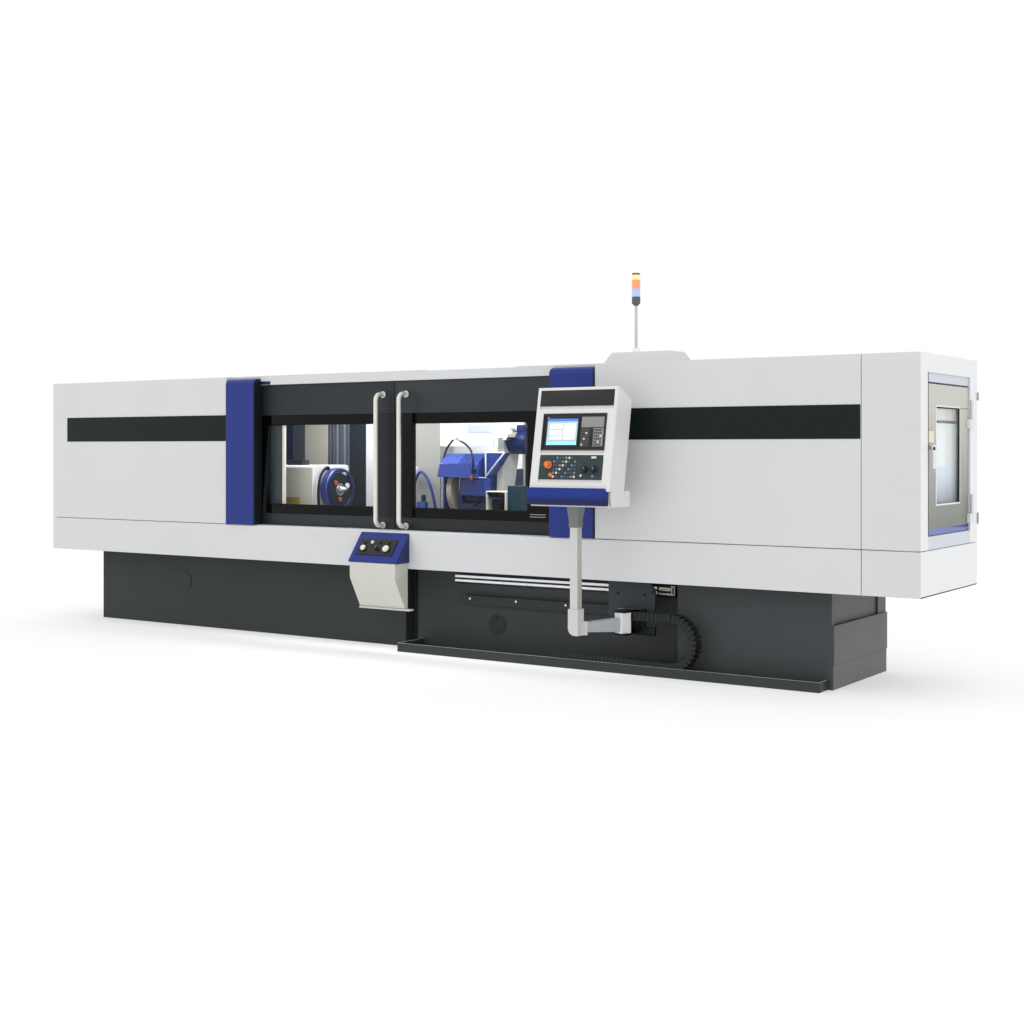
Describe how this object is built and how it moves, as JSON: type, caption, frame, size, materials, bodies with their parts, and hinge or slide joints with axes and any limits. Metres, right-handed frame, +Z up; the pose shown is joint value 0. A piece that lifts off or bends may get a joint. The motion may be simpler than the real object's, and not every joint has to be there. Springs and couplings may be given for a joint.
{
  "type": "thread grinding machine",
  "caption": "Long enclosed thread grinder: cabinet with sliding windowed doors on a heavy bed, side end door, operator station and a swinging control pendant on a sliding carriage.",
  "frame": {"origin": "centre of the bounding box on the floor plane, Z = 0", "axes": "+X along the machine to the operator's right, +Y to the rear, +Z up"},
  "size_m": [7.028, 2.18, 2.421],
  "materials": {
    "white_shell": "semi-gloss",
    "blue_paint": "gloss",
    "base_grey": "satin",
    "plate_grey": "satin",
    "door_slate": "satin",
    "door_glass": "clear",
    "black_trim": "gloss",
    "chrome": "polished",
    "tray_grey": "satin",
    "machined_steel": "ground",
    "frame_steel": "satin",
    "ivory_paint": "semi-gloss",
    "post_grey": "satin",
    "socket_grey": "painted",
    "carriage_grey": "satin",
    "chain_black": "matt",
    "panel_dark": "satin",
    "wrist_blue": "matt",
    "signal_red": "gloss",
    "knob_black": "satin",
    "cap_white": "gloss",
    "lens": "translucent",
    "end_door_grey": "satin",
    "machine_iron": "painted",
    "table_iron": "ground",
    "blue_guard": "gloss",
    "abrasive": "granular",
    "motor_blue": "satin"
  },
  "bodies": {
    "machine": {"apron": "white_shell", "base_cover_plates": "plate_grey", "bed_left": "base_grey", "bed_rear": "base_grey", "bed_right": "base_grey", "chain_lower_run": "chain_black", "drip_tray": "tray_grey", "end_module": "white_shell", "guard_bar": "plate_grey", "inner_frame": "frame_steel", "left_cabinet": "white_shell", "left_column": "blue_paint", "pendant_rail": "machined_steel", "rear_housing": "white_shell", "right_cabinet": "white_shell", "right_column": "blue_paint", "roof_covers": "white_shell", "roof_panel": "white_shell", "signal_tower_lenses": "lens", "signal_tower_post": "post_grey", "slide_ways": "machined_steel", "station_body": "white_shell", "station_top": "blue_paint", "trim_strips": "black_trim"},
    "door_left": {"door_left": "door_slate", "door_left_window": "door_glass", "door_left_handle": "chrome"},
    "door_right": {"door_right": "door_slate", "door_right_window": "door_glass", "door_right_handle": "chrome"},
    "end_door": {"end_door": "end_door_grey", "end_door_window": "door_glass"},
    "end_lever": {"end_door_lever": "chrome"},
    "carriage": {"pendant_carriage": "carriage_grey", "chain_upper_run": "chain_black"},
    "chain_loop": {"chain_bend": "chain_black"},
    "arm": {"pendant_arm": "ivory_paint", "pendant_post": "post_grey"},
    "pendant": {"pendant_socket": "socket_grey", "pendant_housing": "white_shell", "pendant_panels": "panel_dark", "wrist_rest": "wrist_blue"},
    "estop": {"estop_button": "signal_red"},
    "feed_knob": {"feed_knob": "knob_black"},
    "spindle_knob": {"spindle_knob": "knob_black"},
    "start_button": {"station_start_button": "cap_white"},
    "stop_button": {"station_stop_button": "cap_white"},
    "station_knob": {"station_knob": "knob_black"},
    "table": {"work_table": "table_iron", "headstock": "machine_iron", "tailstock": "machine_iron"},
    "face_plate": {"face_plate": "machined_steel"},
    "quill": {"tailstock_quill": "machined_steel"},
    "cross_slide": {"cross_slide": "machine_iron"},
    "wheelhead": {"wheelhead": "machine_iron", "wheel_guard": "blue_guard", "wheel_motor": "motor_blue", "belt_cover": "white_shell", "coolant_arm": "ivory_paint"},
    "grinding_wheel": {"grinding_wheel": "abrasive"}
  },
  "joints": [
    {"name": "left_door_slide", "type": "slide", "parent": "machine", "child": "door_left", "axis": [1, 0, 0], "range_m": [-1.05, 0]},
    {"name": "right_door_slide", "type": "slide", "parent": "machine", "child": "door_right", "axis": [1, 0, 0], "range_m": [0, 1.12]},
    {"name": "end_door_hinge", "type": "hinge", "parent": "machine", "child": "end_door", "pos_m": [3.497, 0.223, 0.875], "axis": [0, 0, 1], "range_deg": [0, 110]},
    {"name": "end_lever_turn", "type": "hinge", "parent": "end_door", "child": "end_lever", "pos_m": [3.476, -0.506, 1.352], "axis": [1, 0, 0], "range_deg": [0, 90]},
    {"name": "carriage_slide", "type": "slide", "parent": "machine", "child": "carriage", "axis": [1, 0, 0], "range_m": [-1.2, 0], "deforming": ["chain_upper_run", "chain_lower_run"]},
    {"name": "chain_roll", "type": "slide", "parent": "machine", "child": "chain_loop", "axis": [1, 0, 0], "range_m": [-0.6, 0]},
    {"name": "arm_swing", "type": "hinge", "parent": "carriage", "child": "arm", "pos_m": [1.679, -0.65, 0.247], "axis": [0, 0, 1], "range_deg": [0, 25]},
    {"name": "pendant_turn", "type": "hinge", "parent": "arm", "child": "pendant", "pos_m": [1.53363, -0.95071, 0.885], "axis": [0, 0, 1], "range_deg": [-20, 12]},
    {"name": "estop_press", "type": "slide", "parent": "pendant", "child": "estop", "axis": [0, 0.9848, -0.1736], "range_m": [0, 0.005]},
    {"name": "feed_knob_turn", "type": "hinge", "parent": "pendant", "child": "feed_knob", "pos_m": [1.65736, -1.05305, 1.22646], "axis": [0, -0.9848, 0.1736], "range_deg": [-140, 140]},
    {"name": "spindle_knob_turn", "type": "hinge", "parent": "pendant", "child": "spindle_knob", "pos_m": [1.72, -1.05305, 1.22646], "axis": [0, -0.9848, 0.1736], "range_deg": [-140, 140]},
    {"name": "start_press", "type": "slide", "parent": "machine", "child": "start_button", "axis": [0, 0.7965, -0.6047], "range_m": [0, 0.005], "stiffness_N_per_m": 400, "springref_m": -0.01},
    {"name": "stop_press", "type": "slide", "parent": "machine", "child": "stop_button", "axis": [0, 0.7965, -0.6047], "range_m": [0, 0.005], "stiffness_N_per_m": 400, "springref_m": -0.01},
    {"name": "station_knob_turn", "type": "hinge", "parent": "machine", "child": "station_knob", "pos_m": [-0.12922, -0.74311, 0.67893], "axis": [0, -0.7965, 0.6047], "range_deg": [-60, 60]},
    {"name": "table_traverse", "type": "slide", "parent": "machine", "child": "table", "axis": [1, 0, 0], "range_m": [-1, 0.6]},
    {"name": "workpiece_spin", "type": "hinge", "parent": "table", "child": "face_plate", "pos_m": [-1.039, -0.16, 1.05], "axis": [1, 0, 0], "continuous": true},
    {"name": "quill_slide", "type": "slide", "parent": "table", "child": "quill", "axis": [1, 0, 0], "range_m": [-0.04, 0.04]},
    {"name": "wheel_infeed", "type": "slide", "parent": "machine", "child": "cross_slide", "axis": [0, -1, 0], "range_m": [0, 0.15]},
    {"name": "helix_tilt", "type": "hinge", "parent": "cross_slide", "child": "wheelhead", "pos_m": [-0.124, 0.55, 1.05], "axis": [0, 1, 0], "range_deg": [-10, 10]},
    {"name": "wheel_spin", "type": "hinge", "parent": "wheelhead", "child": "grinding_wheel", "pos_m": [-0.124, 0.24, 1.05], "axis": [1, 0, 0], "continuous": true}
  ],
  "couplings": [
    {"joint": "chain_roll", "follows": "carriage_slide", "ratio": 0.5}
  ]
}
